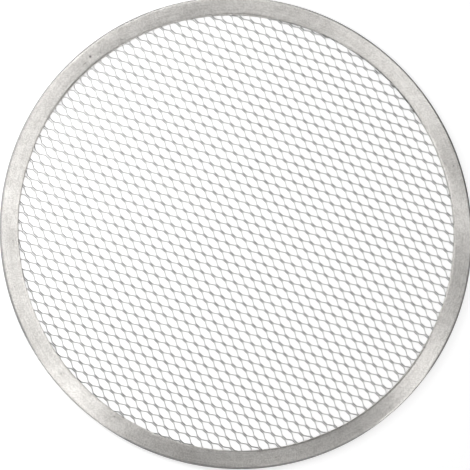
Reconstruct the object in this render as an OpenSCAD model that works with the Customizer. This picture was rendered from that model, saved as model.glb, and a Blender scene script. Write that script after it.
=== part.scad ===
// Pizza screen: a round sheet of expanded aluminium mesh, held in a rim that is
// one strip of aluminium folded over the edge of the mesh. It lies flat on the
// lower side of the rim, with Z up and the middle of the screen on the Z axis.
// All sizes are in millimetres.

/* [Screen] */
// Outside diameter of the screen
screen_d = 280; // [200:5:400]

/* [Rim] */
// Width of the rim, seen from above
rim_w = 11; // [9:0.5:20]
// Thickness of the strip that the rim is folded from
rim_sheet = 0.8; // [0.5:0.1:1.2]
// Play between the mesh and the upper wall of the fold
fold_play = 0.05; // [0:0.05:0.3]

/* [Mesh] */
// Long way of the mesh, from one crossing to the next
long_way = 12.5; // [10:0.5:25]
// Short way of the mesh, from one crossing to the next
short_way = 5.7; // [4.5:0.1:12]
// Width of one strand
strand_w = 0.7; // [0.6:0.1:1.2]
// Thickness of the sheet that the mesh is expanded from
strand_t = 0.7; // [0.6:0.1:1.2]
// How much higher one run of strands stands than the other
strand_lift = 0.5; // [0.1:0.1:0.6]
// Turn of the long way, counted from the X axis
mesh_turn = -42.5; // [-90:0.5:90]
// Distance from the middle of the screen to a crossing, the short way
mesh_shift = 2.3; // [0:0.1:3]
// Depth to which the mesh reaches into the rim
mesh_bite = 6; // [4:0.5:6]

/* [Hidden] */

// The fold is as high as the raised mesh, and the strip bends round it
mesh_h = strand_t + strand_lift;
fold_h = mesh_h + fold_play;
rim_h = fold_h + 2 * rim_sheet;
rim_r = screen_d / 2;
rim_inner_r = rim_r - rim_w;
bend_r = rim_r - rim_h / 2;

// Both runs of strands are straight, and cross where the bonds are
mesh_r = rim_inner_r + mesh_bite;
strand_angle = atan(short_way / long_way);
strand_pitch = long_way * sin(strand_angle);
cell_side = norm([long_way, short_way]) / 2;
run_shift = mesh_shift * cos(strand_angle);
// No strand is so short that it would cross nothing and fall out
outer_strand = sqrt(mesh_r * mesh_r - cell_side * cell_side);

// One wall of the fold, as far as the bend, with its free edge rounded
module wall_section() {
    lip = rim_sheet / 2;
    translate([rim_inner_r + lip, 0]) square([bend_r - rim_inner_r - lip, rim_sheet]);
    translate([rim_inner_r + lip, lip]) circle(r = lip, $fn = 32);
}

// The bend at the outside of the rim, from one wall round to the other
module bend_section() translate([bend_r, rim_h / 2]) difference() {
    circle(r = rim_h / 2, $fn = 64);
    circle(r = fold_h / 2, $fn = 64);
    translate([-rim_h, -rim_h]) square([rim_h, 2 * rim_h]);
}

// The rim: the folded strip, open towards the middle of the screen
module rim() color([0.79, 0.78, 0.76])
    rotate_extrude($fn = 360) {
        wall_section();
        translate([0, rim_h - rim_sheet]) wall_section();
        bend_section();
    }

// One run of parallel strands, each as long as the round cut leaves it
module strand_run(angle, z)
    rotate(angle)
        for (k = [ceil((-outer_strand - run_shift) / strand_pitch) :
                  floor((outer_strand - run_shift) / strand_pitch)])
            let (y = k * strand_pitch + run_shift,
                 half = sqrt(mesh_r * mesh_r - pow(abs(y) + strand_w / 2, 2)))
                translate([-half, y - strand_w / 2, z])
                    cube([2 * half, strand_w, strand_t]);

// The mesh: two runs of strands that are one sheet where they cross. The second
// run stands higher, as the strands of a raised mesh do
module mesh() color([0.72, 0.72, 0.71])
    translate([0, 0, rim_sheet]) rotate(mesh_turn) {
        strand_run(strand_angle, 0);
        strand_run(-strand_angle, strand_lift);
    }

rim();
mesh();
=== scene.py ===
"""Dresses the pizza screen: raised expanded mesh, folded rim, rolled aluminium.

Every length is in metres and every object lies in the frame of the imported
model: Z up, the middle of the screen on the Z axis, its lower side at z = 0.
"""

from __future__ import annotations

import logging
import math
from dataclasses import dataclass, field
from enum import Enum
from typing import Any, Mapping

import bpy
import numpy as np
from mathutils import Matrix, Vector

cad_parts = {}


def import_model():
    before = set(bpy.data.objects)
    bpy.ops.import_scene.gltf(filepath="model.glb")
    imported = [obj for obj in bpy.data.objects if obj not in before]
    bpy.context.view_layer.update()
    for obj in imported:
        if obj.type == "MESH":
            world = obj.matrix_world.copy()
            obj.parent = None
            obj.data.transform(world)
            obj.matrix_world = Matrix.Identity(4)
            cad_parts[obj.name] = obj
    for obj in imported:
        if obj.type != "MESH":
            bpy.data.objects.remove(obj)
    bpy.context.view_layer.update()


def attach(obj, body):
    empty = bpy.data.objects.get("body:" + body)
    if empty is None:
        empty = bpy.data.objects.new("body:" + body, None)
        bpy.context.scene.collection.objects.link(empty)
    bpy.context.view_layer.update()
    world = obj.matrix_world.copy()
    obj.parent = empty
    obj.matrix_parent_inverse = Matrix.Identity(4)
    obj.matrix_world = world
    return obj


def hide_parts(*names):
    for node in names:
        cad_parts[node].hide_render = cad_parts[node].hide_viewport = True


LOG = logging.getLogger("pizza_screen")
MM = 0.001
Colour = tuple[float, float, float]
Pair = tuple[float, float]


class Slot(Enum):
    """The record's material slots."""

    RIM = "rim_sheet"
    MESH = "mesh_sheet"


class Node(Enum):
    """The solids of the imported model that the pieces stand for."""

    RIM = "rim"
    MESH = "mesh"


# Shader maths


class Signal:
    """One output socket, with arithmetic that adds Math nodes."""

    def __init__(self, graph: "Graph", socket: Any) -> None:
        """Keep the graph and the socket that carries the value."""
        self.graph = graph
        self.socket = socket

    def _math(self, operation: str, *values: Any) -> "Signal":
        """Add a Math node of the given operation over the values."""
        return self.graph.node("ShaderNodeMath", {"operation": operation}, dict(enumerate(values)))

    def __add__(self, other: Any) -> "Signal":
        """Sum."""
        return self._math("ADD", self, other)

    __radd__ = __add__

    def __sub__(self, other: Any) -> "Signal":
        """Difference."""
        return self._math("SUBTRACT", self, other)

    def __rsub__(self, other: Any) -> "Signal":
        """Difference, with this value taken away."""
        return self._math("SUBTRACT", other, self)

    def __mul__(self, other: Any) -> "Signal":
        """Product."""
        return self._math("MULTIPLY", self, other)

    __rmul__ = __mul__

    def __truediv__(self, other: Any) -> "Signal":
        """Quotient."""
        return self._math("DIVIDE", self, other)

    def __rtruediv__(self, other: Any) -> "Signal":
        """Quotient, with this value below the line."""
        return self._math("DIVIDE", other, self)

    def most(self, other: Any) -> "Signal":
        """The larger of the two."""
        return self._math("MAXIMUM", self, other)


class Graph:
    """A node tree that is written as Python expressions."""

    def __init__(self, owner: bpy.types.ID) -> None:
        """Empty a node tree and keep it.

        Args:
            owner: The material or world that the tree belongs to.
        """
        owner.use_nodes = True
        self.tree = owner.node_tree
        self.tree.nodes.clear()

    def node(
        self,
        kind: str,
        settings: Mapping[str, Any] | None = None,
        values: Mapping[int | str, Any] | None = None,
        output: int | str = 0,
    ) -> Signal:
        """Add a node.

        Args:
            kind: The node's type.
            settings: Its properties, set first.
            values: Plain values or signals for its sockets, by name or number.
            output: The socket that the signal reads.

        Returns:
            The node's output as a signal.
        """
        made = self.tree.nodes.new(kind)
        for name, value in (settings or {}).items():
            setattr(made, name, value)
        for key, value in (values or {}).items():
            if isinstance(value, Signal):
                self.tree.links.new(value.socket, made.inputs[key])
            else:
                made.inputs[key].default_value = value
        return Signal(self, made.outputs[output] if len(made.outputs) else None)

    def vector(self, operation: str, *values: Any, output: int | str = 0) -> Signal:
        """Add a Vector Math node over the values."""
        return self.node(
            "ShaderNodeVectorMath", {"operation": operation}, dict(enumerate(values)), output
        )

    def mix(self, factor: Any, low: Signal | Colour, high: Colour) -> Signal:
        """Blend two colours.

        Args:
            factor: 0 for the first colour and 1 for the second.
            low: The first colour, plain or as a signal.
            high: The second colour.

        Returns:
            The blend.
        """
        start = low if isinstance(low, Signal) else (*low, 1.0)
        values = {0: factor, 6: start, 7: (*high, 1.0)}
        return self.node("ShaderNodeMix", {"data_type": "RGBA"}, values, 2)

    def ramp(self, value: Signal, low: float, high: float) -> Signal:
        """Stretch low..high to 0..1 and clamp it."""
        values = {0: value, 1: low, 2: high, 3: 0.0, 4: 1.0}
        return self.node("ShaderNodeMapRange", {"clamp": True}, values)

    def relief(self, height: Signal, strength: float, depth: float) -> Signal:
        """A normal that follows fine relief of a strength and a depth."""
        values = {"Strength": strength, "Distance": depth, "Height": height}
        return self.node("ShaderNodeBump", values=values)

    def metal(self, colour: Signal, roughness: Signal, normal: Signal, grain: float) -> None:
        """Close the graph with bare metal.

        Args:
            colour: Its colour.
            roughness: Its roughness.
            normal: Its normal.
            grain: How much its lines stretch a highlight, 0 to 1.
        """
        values = {
            "Base Color": colour,
            "Metallic": 1.0,
            "Roughness": roughness,
            "Anisotropic": grain,
            "Normal": normal,
        }
        shader = self.node("ShaderNodeBsdfPrincipled", values=values)
        self.node("ShaderNodeOutputMaterial", values={"Surface": shader})


# Finishes


@dataclass(frozen=True)
class Noise:
    """A noise pattern: waves to a unit of place, octaves, and how strong the finer ones are."""

    waves: float
    octaves: float = 3.0
    fineness: float = 0.6

    def over(self, graph: Graph, place: Signal) -> Signal:
        """The pattern at a place, from 0 to 1."""
        size = {"Scale": self.waves, "Detail": self.octaves, "Roughness": self.fineness}
        return graph.node("ShaderNodeTexNoise", values={"Vector": place, **size})


@dataclass(frozen=True)
class Stretch:
    """A stretch of the ring: its azimuth and its reach either way in degrees, and a strength."""

    azimuth: float
    reach: float
    strength: float

    def mark(self, graph: Graph, heading: Signal) -> Signal:
        """Mark the stretch.

        Args:
            graph: The material's graph.
            heading: Direction from the middle of the ring.

        Returns:
            The strength in the inner half of the stretch, and 0 outside it.
        """
        a = math.radians(self.azimuth)
        toward = (math.cos(a), math.sin(a), 0.0)
        near = graph.vector("DOT_PRODUCT", heading, toward, output="Value")
        end = math.cos(math.radians(self.reach))
        full = math.cos(math.radians(self.reach / 2))
        return graph.ramp(near, end, full) * self.strength


@dataclass(frozen=True)
class RolledStrip:
    """The rim's finish: plain rolled strip, mottled, with faint lines along the ring, painted
    shade along its outer edge and inner lip, and a pit.
    """

    name: str = "rolled_strip"
    dark: Colour = (0.505, 0.488, 0.466)
    light: Colour = (0.745, 0.727, 0.70)
    # Colour of the painted shade at the outer edge and inner lip, and of the pit.
    shade_and_pit_colour: Colour = (0.10, 0.10, 0.10)
    lines: Noise = Noise(1.0)
    blotches: Noise = Noise(230.0)
    grain: Noise = Noise(1500.0, 2.0)
    patches: Noise = Noise(14.0, 1.0, 0.5)
    ring_radius: float = 134.5 * MM
    line_pitch: float = 0.8 * MM
    line_length: float = 16 * MM
    line_share: float = 0.22
    blotch_share: float = 0.2
    grain_share: float = 0.58
    tone_span: Pair = (0.41, 0.59)
    roughness: float = 0.22
    blotch_roughness: float = 0.10
    line_roughness: float = 0.06
    anisotropy: float = 0.95
    relief_grain: float = 0.5
    relief_strength: float = 0.25
    relief_depth: float = 0.04 * MM
    # Painted shade along the outer bend, where it mirrors dark surroundings. It is left off over
    # the stretches listed below, where the bend mirrors the lamps.
    edge_line: Pair = (138.7 * MM, 139.35 * MM)
    edge_shade: float = 0.75
    lit_edges: tuple[Stretch, ...] = (
        Stretch(92.0, 22.0, 0.4),
        Stretch(224.0, 18.0, 0.9),
        Stretch(314.0, 12.0, 1.0),
    )
    # Painted shade along the inner lip, where the lip meets the mesh: in patches, and fully over
    # two stretches.
    lip_line: Pair = (129.55 * MM, 129.2 * MM)
    lip_shade_depth: float = 0.2
    patch_span: Pair = (0.4, 0.65)
    dark_lips: tuple[Stretch, ...] = (Stretch(45.0, 15.0, 1.0), Stretch(68.0, 12.0, 0.8))
    pit_place: tuple[float, float, float] = (-86.4 * MM, 103.0 * MM, 2.85 * MM)
    pit_reach: Pair = (0.85 * MM, 0.45 * MM)
    pit_wear: float = 0.9

    def painted_shade_and_pit(self, graph: Graph, place: Signal, heading: Signal, radius: Signal) -> Signal:
        """Mark what is darker than the strip.

        These are painted shade on the outer edge apart from its lit stretches,
        painted shade in patches and two stretches of the inner lip, and one
        small pit.

        Args:
            graph: The material's graph.
            place: Place on the rim.
            heading: Direction from the middle of the ring.
            radius: Distance from the Z axis.

        Returns:
            0 on the clean strip, and more the darker it is.
        """
        # Painted shade on the outer edge, except over the stretches where the lamps' reflection
        # falls.
        lit = self.lit_edges[0].mark(graph, heading)
        for stretch in self.lit_edges[1:]:
            lit = lit.most(stretch.mark(graph, heading))
        edge = graph.ramp(radius, *self.edge_line) * self.edge_shade * (1.0 - lit)
        # Painted shade along the inner lip, in patches and over two stretches.
        lip_shading = graph.ramp(self.patches.over(graph, place), *self.patch_span) * self.lip_shade_depth
        for stretch in self.dark_lips:
            lip_shading = lip_shading.most(stretch.mark(graph, heading))
        lip = graph.ramp(radius, *self.lip_line) * lip_shading
        from_pit = graph.vector("DISTANCE", place, self.pit_place, output="Value")
        pit = graph.ramp(from_pit, *self.pit_reach) * self.pit_wear
        return edge.most(lip).most(pit)

    def material(self) -> bpy.types.Material:
        """Make the material.

        The lines are noise over the direction from the middle, in line lengths,
        and the radius, in line pitches, so they run round the ring without a
        seam. Blotches, grain and patches are noise over places in metres.

        Returns:
            The material.
        """
        made = bpy.data.materials.new(self.name)
        graph = Graph(made)
        place = graph.node("ShaderNodeTexCoord", output="Object")
        flat = graph.vector("MULTIPLY", place, (1.0, 1.0, 0.0))
        heading = graph.vector("NORMALIZE", flat)
        radius = graph.vector("LENGTH", flat, output="Value")
        turns = {0: heading, "Scale": self.ring_radius / self.line_length}
        around = graph.node("ShaderNodeVectorMath", {"operation": "SCALE"}, turns)
        across = graph.node("ShaderNodeCombineXYZ", values={2: radius / self.line_pitch})
        lines = self.lines.over(graph, graph.vector("ADD", around, across))
        blotches = self.blotches.over(graph, place)
        grain = self.grain.over(graph, place)
        mottle = lines * self.line_share + blotches * self.blotch_share + grain * self.grain_share
        clean = graph.mix(graph.ramp(mottle, *self.tone_span), self.dark, self.light)
        # Painted shade at the outer edge and inner lip, and the pit, darken the clean strip.
        colour = graph.mix(self.painted_shade_and_pit(graph, place, heading, radius), clean, self.shade_and_pit_colour)
        rough = blotches * self.blotch_roughness + lines * self.line_roughness + self.roughness
        height = lines + grain * self.relief_grain
        normal = graph.relief(height, self.relief_strength, self.relief_depth)
        graph.metal(colour, rough, normal, self.anisotropy)
        return made


@dataclass(frozen=True)
class ExpandedSheet:
    """The mesh's finish: bright sheet faces, duller cut edges, and painted shade on the outer
    facets at bonds.
    """

    name: str = "expanded_sheet"
    # Dark colour for dull cut edges and for painted shade on the outer facets at bonds.
    cut: Colour = (0.11, 0.11, 0.11)
    face: Colour = (0.80, 0.80, 0.79)
    grain: Noise = Noise(900.0)
    patches: Noise = Noise(60.0, 2.0, 0.5)
    mottle: float = 0.2
    tone_span: Pair = (-0.8, 0.2)
    roughness: float = 0.44
    grain_roughness: float = 0.12
    cut_roughness: float = 0.12
    relief_strength: float = 0.2
    relief_depth: float = 0.03 * MM

    def material(self) -> bpy.types.Material:
        """Make the material, from face to cut colour as the attribute of dull cut edges and
        painted shade goes from 0 to 1.

        Returns:
            The material.
        """
        made = bpy.data.materials.new(self.name)
        graph = Graph(made)
        place = graph.node("ShaderNodeTexCoord", output="Object")
        cut = graph.node("ShaderNodeAttribute", {"attribute_name": "cut"}, output="Fac")
        grain = self.grain.over(graph, place)
        patches = self.patches.over(graph, place)
        # Darker towards the cut colour on dull cut edges, and as painted shade on the bonds' outer
        # facets.
        tone = graph.ramp((grain + patches) * self.mottle - cut, *self.tone_span)
        rough = grain * self.grain_roughness + cut * self.cut_roughness + self.roughness
        normal = graph.relief(grain, self.relief_strength, self.relief_depth)
        graph.metal(graph.mix(tone, self.cut, self.face), rough, normal, 0.0)
        return made


# Pieces


def solid_piece(
    name: str,
    points: np.ndarray,
    loops: np.ndarray,
    sizes: np.ndarray,
    smooth: bool,
    finish: bpy.types.Material,
) -> bpy.types.Object:
    """Make a mesh object.

    Args:
        name: The piece's name.
        points: Points, n by 3.
        loops: Point numbers of all faces in a row, anticlockwise from outside.
        sizes: How many points each face has.
        smooth: Whether the faces shade as one curved surface.
        finish: Its material.

    Returns:
        The object, at the origin.
    """
    mesh = bpy.data.meshes.new(name)
    mesh.vertices.add(len(points))
    mesh.vertices.foreach_set("co", points.astype(np.float32).ravel())
    mesh.loops.add(loops.size)
    mesh.loops.foreach_set("vertex_index", loops.astype(np.int32))
    mesh.polygons.add(len(sizes))
    starts = np.concatenate([[0], np.cumsum(sizes)[:-1]])
    mesh.polygons.foreach_set("loop_start", starts.astype(np.int32))
    mesh.update(calc_edges=True)
    mesh.validate()
    mesh.polygons.foreach_set("use_smooth", np.full(len(sizes), smooth))
    mesh.materials.append(finish)
    piece = bpy.data.objects.new(name, mesh)
    bpy.context.scene.collection.objects.link(piece)
    return piece


def arc(centre: Pair, radius: float, ends: Pair, count: int, square: float = 2.0) -> np.ndarray:
    """Points on an arc: |x|^square + |y|^square = radius^square about its centre.

    Args:
        centre: The centre, as (radius, height) on the section of the rim.
        radius: The arc's own radius.
        ends: The angles where it starts and ends, in degrees.
        count: How many points it has.
        square: 2 for a round arc, and more for a squarer one.

    Returns:
        Points, count by 2.
    """
    a = np.radians(np.linspace(*ends, count))
    x, y = (np.sign(v) * np.abs(v) ** (2 / square) for v in (np.cos(a), np.sin(a)))
    return np.stack([centre[0] + radius * x, centre[1] + radius * y], axis=1)


def level_run(height: float, ends: Pair, count: int) -> np.ndarray:
    """Points (radius, height) between the ends of a level run, without the ends."""
    radius = np.linspace(*ends, count + 2)[1:-1]
    return np.stack([radius, np.full(count, height)], axis=1)


@dataclass
class FoldedRim:
    """The rim: one strip of sheet folded over the edge of the mesh.

    The outer bend is pressed squarer than round, as far as pressed is above 2.
    Each wave of the lips is a share of their wander, a count of waves round the
    ring, and a phase in radians.
    """

    outer_radius: float = 140 * MM
    width: float = 11 * MM
    sheet: float = 0.8 * MM
    fold: float = 1.25 * MM
    pressed: float = 5.0
    lip_wander: float = 0.3 * MM
    waves: tuple[tuple[float, int, float], ...] = ((0.5, 7, 1.0), (0.3, 17, 0.0), (0.2, 41, 2.0))
    around: int = 540
    bend_points: int = 25
    arc_points: int = 7
    upper_points: int = 9
    lower_points: int = 3
    inner_points: int = 2
    finish: RolledStrip = field(default_factory=RolledStrip)

    def section(self) -> np.ndarray:
        """Points (radius, height) of the folded strip, closed, anticlockwise.

        Along the lower side outwards, round the pressed outer bend, inwards over
        the top, round the lip, back out under the top wall, round the inner
        bend, and in over the lower wall to the other lip.

        Returns:
            Points, n by 2.
        """
        height = self.fold + 2 * self.sheet
        lip = self.sheet / 2
        edge = self.outer_radius - self.width + lip
        bend = self.outer_radius - height / 2
        middle = (bend, height / 2)
        return np.concatenate(
            [
                level_run(0.0, (edge, bend), self.lower_points),
                arc(middle, height / 2, (-90, 90), self.bend_points, self.pressed),
                level_run(height, (bend, edge), self.upper_points),
                arc((edge, height - lip), lip, (90, 270), self.arc_points),
                level_run(height - self.sheet, (edge, bend), self.inner_points),
                arc(middle, self.fold / 2, (90, -90), self.arc_points),
                level_run(self.sheet, (bend, edge), self.inner_points),
                arc((edge, lip), lip, (90, 270), self.arc_points),
            ]
        )

    def surface(self) -> np.ndarray:
        """Points of the strip carried round the ring.

        A point of the section goes to (radius cos a, radius sin a, height). The
        lips wander outwards by 0 to lip_wander, as the sum of the waves
        share * sin(count a + phase) goes from -1 to 1. Away from the lips that
        fades with the cube of the distance to the outer edge.

        Returns:
            Points, around by n by 3.
        """
        profile = self.section()
        a = np.linspace(0, 2 * math.pi, self.around, endpoint=False)[:, None]
        r, z = profile[None, :, 0], profile[None, :, 1]
        from_edge = np.clip((self.outer_radius - r) / self.width, 0, 1)
        waves = sum(share * np.sin(count * a + phase) for share, count, phase in self.waves)
        r = r + self.lip_wander * (1 + waves) / 2 * from_edge**3
        return np.stack([r * np.cos(a), r * np.sin(a), z + 0 * a], axis=2)

    def build(self) -> bpy.types.Object:
        """Make the rim, dress it and let it stand for its solid.

        Returns:
            The piece.
        """
        grid = self.surface()
        count, n = grid.shape[:2]
        i, j = np.meshgrid(np.arange(count), np.arange(n), indexing="ij")
        i2, j2 = (i + 1) % count, (j + 1) % n
        quads = np.stack([i * n + j, i2 * n + j, i2 * n + j2, i * n + j2], axis=2).reshape(-1, 4)
        sizes = np.full(len(quads), 4)
        points = grid.reshape(-1, 3)
        material = self.finish.material()
        piece = solid_piece("folded_rim", points, quads.ravel(), sizes, True, material)
        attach(piece, "root")
        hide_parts(Node.RIM.value)
        return piece


@dataclass
class RaisedMesh:
    """The mesh: zig-zag strands, each one sheet with the next where they meet.

    Strand k runs along the long way, between bond lines k and k + 1. Its upper
    side is two facets that meet on its middle line. At a bond, the joint facet
    is the one next to the neighbouring strand, and the other is the outer one.
    Bond line 0 lies shift off the middle of the screen, and each step across
    moves the cells by creep times that step along the long way. A strand has
    corner points at the stations, in half long ways from each bond's middle.
    Leans and the turn are in degrees. How dull a side is, or how much shade is painted on it, goes
    from 0 to 1.
    """

    radius: float = 135 * MM
    long_way: float = 12.5 * MM
    short_way: float = 5.7 * MM
    turn: float = -42.5
    shift: float = 2.3 * MM
    creep: float = -0.024
    middle_height: float = 1.42 * MM
    strand: float = 0.74 * MM
    neck: float = 0.28
    run_gain: float = 0.1
    sheet: float = 0.27 * MM
    bond: float = 2.5 * MM
    smooth: float = 0.2
    joint_share: float = 0.36
    joint_lean: float = 12.0
    outer_lean: float = 42.0
    strand_lean: float = 50.0
    fade: float = 0.08
    dull: float = 0.03
    joint_dull: float = 0.05
    # The outer facet at a bond is painted almost to the cut colour, as painted shade.
    outer_shade: float = 0.97
    wall_dull: float = 0.5
    bond_wall: float = 0.7
    stations: tuple[float, ...] = (0.2, 0.265, 0.42, 0.58, 0.735, 0.8)
    finish: ExpandedSheet = field(default_factory=ExpandedSheet)

    def rise(self, u: np.ndarray) -> np.ndarray:
        """How far a strand has come from one bond to the next, 0 to 1.

        u counts half long ways, with bonds at whole numbers: flat along each
        bond, then mostly a straight ramp and partly a smooth step to the next.

        Args:
            u: Places along the long way.

        Returns:
            0 at even bonds and 1 at odd ones.
        """
        part = np.abs((u % 2) - 1)
        flat = self.bond / self.long_way
        ramp = np.clip((1 - part - flat) / (1 - 2 * flat), 0, 1)
        return (1 - self.smooth) * ramp + self.smooth * ramp * ramp * (3 - 2 * ramp)

    def facet(
        self, across: np.ndarray, near: np.ndarray, far: np.ndarray, width: np.ndarray
    ) -> tuple[np.ndarray, np.ndarray]:
        """Reach and depth of one facet of the strands.

        The facet leans by strand_lean between bonds. Near its own joint it leans
        by joint_lean and has joint_share of the width, and near the other joint
        it leans by outer_lean and has the rest.

        Args:
            across: Level direction square to the strand.
            near: How near its own joint is, 0 to 1.
            far: How near the other joint is, 0 to 1.
            width: Width of the strand.

        Returns:
            The step from the strand's middle line to the facet's edge, and the
            step from its lower to its upper side.
        """
        up = np.array([0.0, 0.0, 1.0])
        lean = self.strand_lean + (self.joint_lean - self.strand_lean) * near
        lean = np.radians(lean + (self.outer_lean - self.strand_lean) * far)[..., None]
        c, s = np.cos(lean), np.sin(lean)
        reach = (width * (0.5 + (self.joint_share - 0.5) * (near - far)))[..., None]
        return reach * (c * across + s * up), self.sheet * (c * up - s * across)

    def dullness_and_shade(self, outer: np.ndarray, joint: np.ndarray) -> np.ndarray:
        """How dull a facet is and how much shade is painted on it, by how much it is the outer or
        the joint facet of a bond.
        """
        at_outer = (self.outer_shade - self.dull) * outer
        return self.dull + at_outer + (self.joint_dull - self.dull) * joint

    def strands(self) -> tuple[np.ndarray, np.ndarray, np.ndarray]:
        """Corner points of every strand, its marks of dull cut edges and painted shade, and which
        stretches stay.

        The middle line of strand k is at half + (short way / 2 - 2 half) * rise
        above bond line k, where half is the joint facet's width seen from above.
        The strand is stretched thinner halfway, by neck * 4 rise (1 - rise), and
        by run_gain less where it runs one way and more where it runs the other.
        There are more strands and cells than fit, and the mask drops the rest.

        Returns:
            Points, strands by stations by 5 by 3, how much each side counts as
            dull cut edge or painted shade, strands by stretches by 5, and the mask
            of the stretches that lie in the disc.
        """
        rows = int(self.radius // (self.short_way / 2)) + 1
        cells = int(self.radius // (self.long_way / 2)) + 2
        u = (np.arange(-cells, cells)[:, None] + np.array(self.stations)[None, :]).ravel()
        k = np.arange(-rows - 1, rows + 1)[:, None]
        at = u[None, :] + (k % 2)
        up = self.rise(at)
        step = 1e-3
        ahead = self.rise(at + step) - self.rise(at - step)
        facet = self.strand * self.joint_share
        half = facet * math.cos(math.radians(self.joint_lean))
        drop = facet * math.sin(math.radians(self.joint_lean))
        span = self.short_way / 2 - 2 * half
        y = k * self.short_way / 2 + self.shift + half + span * up
        x = u[None, :] * self.long_way / 2 + self.creep * y
        z = self.middle_height + drop * (1 - 2 * up)
        zero = np.zeros_like(up)
        along = np.stack([zero + self.long_way, span * ahead / step, zero], axis=2)
        along /= np.linalg.norm(along, axis=2, keepdims=True)
        across = np.stack([-along[..., 1], along[..., 0], zero], axis=2)
        halfway = 4 * up * (1 - up)
        width = self.strand * (1 - halfway * (self.neck - self.run_gain * np.sign(ahead)))
        low_joint = np.clip(1 - up / self.fade, 0, 1)
        high_joint = np.clip(1 - (1 - up) / self.fade, 0, 1)
        minus, minus_depth = self.facet(across, low_joint, high_joint, width)
        plus, plus_depth = self.facet(across, high_joint, low_joint, width)
        middle = np.stack([x, y, z], axis=2)
        first, last = middle - minus, middle + plus
        corners = np.stack([first, first - minus_depth, last - plus_depth, last, middle], axis=2)
        # Walls are dull cut edges. A bond's outer facet gets painted shade.
        wall = self.wall_dull * (1 + (self.bond_wall - 1) * (low_joint + high_joint))
        facets = [self.dullness_and_shade(low_joint, high_joint), self.dullness_and_shade(high_joint, low_joint)]
        cut = np.stack([wall, zero, wall, *facets], axis=2)
        inside = np.hypot(x, y) < self.radius - self.strand
        return corners, (cut[:, :-1] + cut[:, 1:]) / 2, inside[:, :-1] & inside[:, 1:]

    def build(self) -> bpy.types.Object:
        """Make the mesh, dress it and let it stand for its solid.

        Each stretch of a strand that stays has a wall on each of its five sides,
        and both ends of a row of stretches are closed.

        Returns:
            The piece.
        """
        corners, cut, kept = self.strands()
        count, sides = corners.shape[1:3]
        turn = np.array(Matrix.Rotation(math.radians(self.turn), 3, "Z"))
        points = corners.reshape(-1, 3) @ turn.T
        row, column = np.nonzero(kept)
        start = ((row * count + column) * sides)[:, None]
        side = np.arange(sides)
        after = (side + 1) % sides
        ring = [start + side, start + after, start + after + sides, start + side + sides]
        walls = np.stack(ring, axis=2)
        begins = (kept & ~np.pad(kept, ((0, 0), (1, 0)))[:, :-1])[kept]
        ends = (kept & ~np.pad(kept, ((0, 0), (0, 1)))[:, 1:])[kept]
        caps = np.concatenate([start[begins] + side[::-1], start[ends] + sides + side])
        loops = np.concatenate([walls.ravel(), caps.ravel()])
        sizes = np.concatenate([np.full(len(walls) * sides, 4), np.full(len(caps), sides)])
        marks = np.concatenate([cut[kept].ravel(), np.ones(len(caps))])
        used, loops = np.unique(loops, return_inverse=True)
        material = self.finish.material()
        piece = solid_piece("expanded_mesh", points[used], loops.ravel(), sizes, False, material)
        layer = piece.data.attributes.new("cut", "FLOAT", "FACE")
        layer.data.foreach_set("value", marks.astype(np.float32))
        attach(piece, "root")
        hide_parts(Node.MESH.value)
        return piece


# Stage


@dataclass(frozen=True)
class Lamp:
    """One soft square lamp that faces the middle of the screen.

    The azimuth counts anticlockwise from +X and the elevation up from the
    floor, both in degrees. The power is in watts.
    """

    name: str
    azimuth: float
    power: float
    elevation: float = 62.0
    distance: float = 1.2
    size: float = 0.14

    def hang(self) -> None:
        """Put the lamp into the scene."""
        light = bpy.data.lights.new(self.name, "AREA")
        light.shape = "SQUARE"
        light.size = self.size
        light.energy = self.power
        a, e = math.radians(self.azimuth), math.radians(self.elevation)
        toward = Vector((math.cos(a) * math.cos(e), math.sin(a) * math.cos(e), math.sin(e)))
        made = bpy.data.objects.new(self.name, light)
        made.location = toward * self.distance
        made.rotation_mode = "QUATERNION"
        made.rotation_quaternion = toward.to_track_quat("Z", "Y")
        bpy.context.scene.collection.objects.link(made)


def near_lamp(name: str, azimuth: float, power: float) -> Lamp:
    """A lamp close to the screen, whose light fades across it."""
    return Lamp(name, azimuth, power, elevation=40.0, distance=0.30, size=0.16)


def high_lamp(name: str, azimuth: float, power: float) -> Lamp:
    """A lamp nearly overhead."""
    return Lamp(name, azimuth, power, elevation=76.0)


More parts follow.
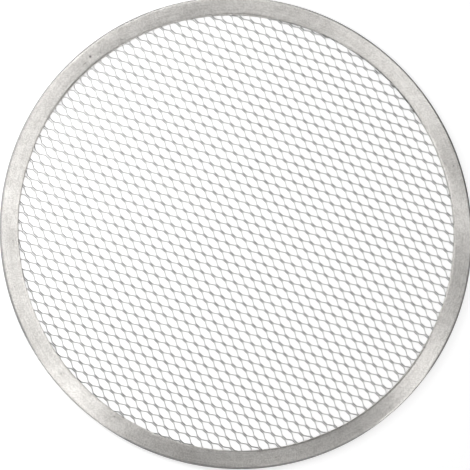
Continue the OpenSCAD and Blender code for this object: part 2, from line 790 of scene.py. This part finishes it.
@dataclass
class Stage:
    """The white floor, the lamps and the camera.

    To the camera and in reflections, the floor glows and has a faint grey that
    takes the shadow, shown_grey. To all other rays it is of plain_grey. The
    glow goes from floor_glow to full_glow over glow_reach from the middle.
    centre_shift is how far the middle of the screen lies right of and above the
    middle of the picture, in pixels, and pixel is what one of them spans there.
    """

    floor_half: float = 3.0
    floor_drop: float = 0.05 * MM
    shown_grey: float = 0.6
    plain_grey: float = 0.8
    floor_glow: Colour = (0.59, 0.59, 0.59)
    full_glow: Colour = (1.0, 1.0, 1.0)
    glow_reach: Pair = (0.22, 0.6)
    world_grey: float = 0.20
    camera_distance: float = 3.0
    camera_tilt: float = 10.8
    tilt_axis: float = -45.0
    sensor: float = 36.0
    view_width: float = 276.5 * MM
    pixel: float = 0.587 * MM
    centre_shift: Pair = (1.8, 2.9)
    lamps: tuple[Lamp, ...] = (
        near_lamp("near_top_lamp", 110, 0.091),
        near_lamp("near_upper_lamp", 125, 0.082),
        near_lamp("near_left_lamp", 155, 0.112),
        near_lamp("near_side_lamp", 170, 0.304),
        Lamp("lower_lamp", 255, 1.41),
        high_lamp("high_bottom_lamp", 285, 0.389),
        Lamp("glare_lamp", 315, 1.261),
        high_lamp("high_glare_lamp", 315, 0.214),
        Lamp("right_lamp", 0, 0.24),
        high_lamp("high_right_lamp", 0, 0.138),
        Lamp("upper_lamp", 75, 0.701),
        Lamp("top_lamp", 90, 0.369),
        Lamp("top_left_lamp", 105, 0.674),
        Lamp("left_upper_lamp", 135, 0.372),
    )

    def floor_finish(self) -> bpy.types.Material:
        """Make the floor's material: white to the camera, with a faint shadow.

        Near the screen the lamps add what the glow lacks to white. Past their
        light the glow is white by itself.

        Returns:
            The material.
        """
        made = bpy.data.materials.new("white_floor")
        graph = Graph(made)
        rays = graph.node("ShaderNodeLightPath").socket.node.outputs
        seen = Signal(graph, rays["Is Camera Ray"]).most(Signal(graph, rays["Is Glossy Ray"]))
        seen = seen.most(Signal(graph, rays["Is Transmission Ray"]))
        place = graph.node("ShaderNodeTexCoord", output="Object")
        away = graph.ramp(graph.vector("LENGTH", place, output="Value"), *self.glow_reach)
        level = graph.mix(away, self.floor_glow, self.full_glow)
        glow = graph.node("ShaderNodeEmission", values={"Color": level})
        greys = [(grey, grey, grey, 1.0) for grey in (self.shown_grey, self.plain_grey)]
        faint, plain = (graph.node("ShaderNodeBsdfDiffuse", values={"Color": g}) for g in greys)
        shown = graph.node("ShaderNodeAddShader", values={0: glow, 1: faint})
        mixed = graph.node("ShaderNodeMixShader", values={0: seen, 1: plain, 2: shown})
        graph.node("ShaderNodeOutputMaterial", values={"Surface": mixed})
        return made

    def floor(self) -> None:
        """Lay the floor just below the screen."""
        h, z = self.floor_half, -self.floor_drop
        mesh = bpy.data.meshes.new("floor")
        mesh.from_pydata([(-h, -h, z), (h, -h, z), (h, h, z), (-h, h, z)], [], [(0, 1, 2, 3)])
        mesh.materials.append(self.floor_finish())
        floor = bpy.data.objects.new("floor", mesh)
        bpy.context.scene.collection.objects.link(floor)

    def world(self) -> None:
        """Light the world evenly, white to the camera."""
        world = bpy.data.worlds.new("studio")
        bpy.context.scene.world = world
        graph = Graph(world)
        path = graph.node("ShaderNodeLightPath", output="Is Camera Ray")
        level = path * (1.0 - self.world_grey) + self.world_grey
        light = {"Color": (*self.full_glow, 1.0), "Strength": level}
        sky = graph.node("ShaderNodeBackground", values=light)
        graph.node("ShaderNodeOutputWorld", values={"Surface": sky})

    def camera(self) -> None:
        """Set the camera above the screen, a little to the lower left.

        It is turned about the line in the floor at tilt_axis, so that lengths
        along that line stay and those square to it shorten by the tilt.
        """
        a = math.radians(self.tilt_axis)
        axis = Vector((math.cos(a), math.sin(a), 0.0))
        turn = Matrix.Rotation(math.radians(self.camera_tilt), 3, axis)
        aside = Vector((*self.centre_shift, 0.0)) * self.pixel
        data = bpy.data.cameras.new("camera")
        data.sensor_width = self.sensor
        data.lens = self.sensor * self.camera_distance / self.view_width
        made = bpy.data.objects.new("camera", data)
        made.location = turn @ (Vector((0.0, 0.0, self.camera_distance)) - aside)
        made.rotation_mode = "QUATERNION"
        made.rotation_quaternion = turn.to_quaternion()
        bpy.context.scene.collection.objects.link(made)
        bpy.context.scene.camera = made

    def build(self) -> None:
        """Set up camera, floor, world and lamps."""
        self.camera()
        self.floor()
        self.world()
        for lamp in self.lamps:
            lamp.hang()


def main() -> None:
    """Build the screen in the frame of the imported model."""
    logging.basicConfig(level=logging.INFO, format="%(name)s: %(message)s")
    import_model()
    bpy.context.scene.view_settings.view_transform = "Standard"
    Stage().build()
    for maker in (FoldedRim(), RaisedMesh()):
        piece = maker.build()
        LOG.info("%s: %d faces", piece.name, len(piece.data.polygons))


if __name__ == "__main__":
    main()
